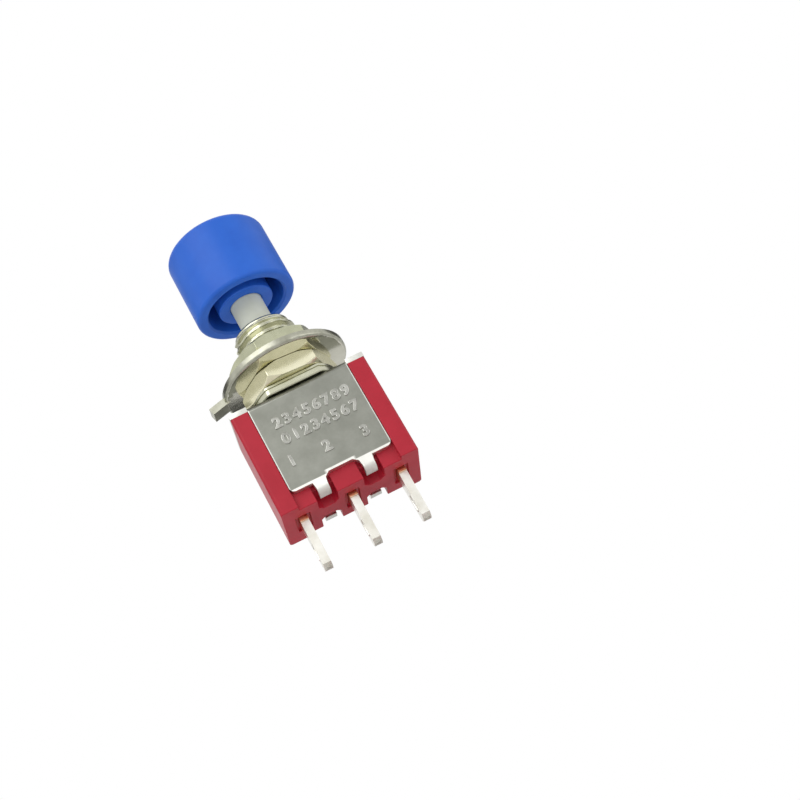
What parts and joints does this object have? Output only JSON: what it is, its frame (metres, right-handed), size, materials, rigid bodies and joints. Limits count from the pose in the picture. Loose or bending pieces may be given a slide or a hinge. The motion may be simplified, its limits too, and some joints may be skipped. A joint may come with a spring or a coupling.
{
  "type": "pushbutton switch",
  "caption": "Miniature changeover push switch with a round cap, threaded bushing, nuts and washers, folded metal frame, moulded case and solder terminals.",
  "frame": {"origin": "on the bushing axis, where the bushing seats on the top of the folded frame", "axes": "+Z along the bushing axis, out of the button; +X along the terminal row, from the common terminal to the normally closed one; -Y out of the front plate"},
  "size_m": [0.014, 0.012, 0.0343],
  "materials": {
    "cap_plastic": "satin",
    "plunger_plastic": "matte",
    "case_plastic": "satin",
    "insulator": "matte",
    "frame_metal": "satin",
    "bushing_metal": "nickel plated",
    "nut_metal": "nickel plated",
    "washer_metal": "nickel plated",
    "terminal_metal": "silver plated",
    "blade_metal": "bright",
    "contact_silver": "bright",
    "spring_steel": "bright"
  },
  "bodies": {
    "body": {"bushing": "bushing_metal", "frame": "frame_metal", "case": "case_plastic", "spring_seat": "insulator", "terminal_common": "terminal_metal", "terminal_no": "terminal_metal", "terminal_nc": "terminal_metal", "nc_contact": "contact_silver", "no_contact": "contact_silver", "blade_spring": "spring_steel", "return_spring": "spring_steel", "lock_washer": "washer_metal", "hex_nut_lower": "nut_metal", "hex_nut_upper": "nut_metal", "locating_washer": "washer_metal"},
    "button": {"button_cap": "cap_plastic", "plunger": "plunger_plastic", "contact_spring": "spring_steel"},
    "blade": {"contact_blade": "blade_metal", "moving_contact": "contact_silver"}
  },
  "joints": [
    {"name": "button_slide", "type": "slide", "parent": "body", "child": "button", "axis": [0, 0, -1], "range_m": [0, 0.0025], "stiffness_N_per_m": 600, "springref_m": -0.001, "deforming": ["return_spring", "contact_spring"]},
    {"name": "blade_rock", "type": "hinge", "parent": "body", "child": "blade", "pos_m": [-0.0047, 0, -0.0051], "axis": [0, 1, 0], "range_deg": [0, 6.5], "deforming": ["blade_spring"]}
  ],
  "couplings": [
    {"joint": "blade_rock", "follows": "button_slide", "rad_per_m": 45.378}
  ]
}
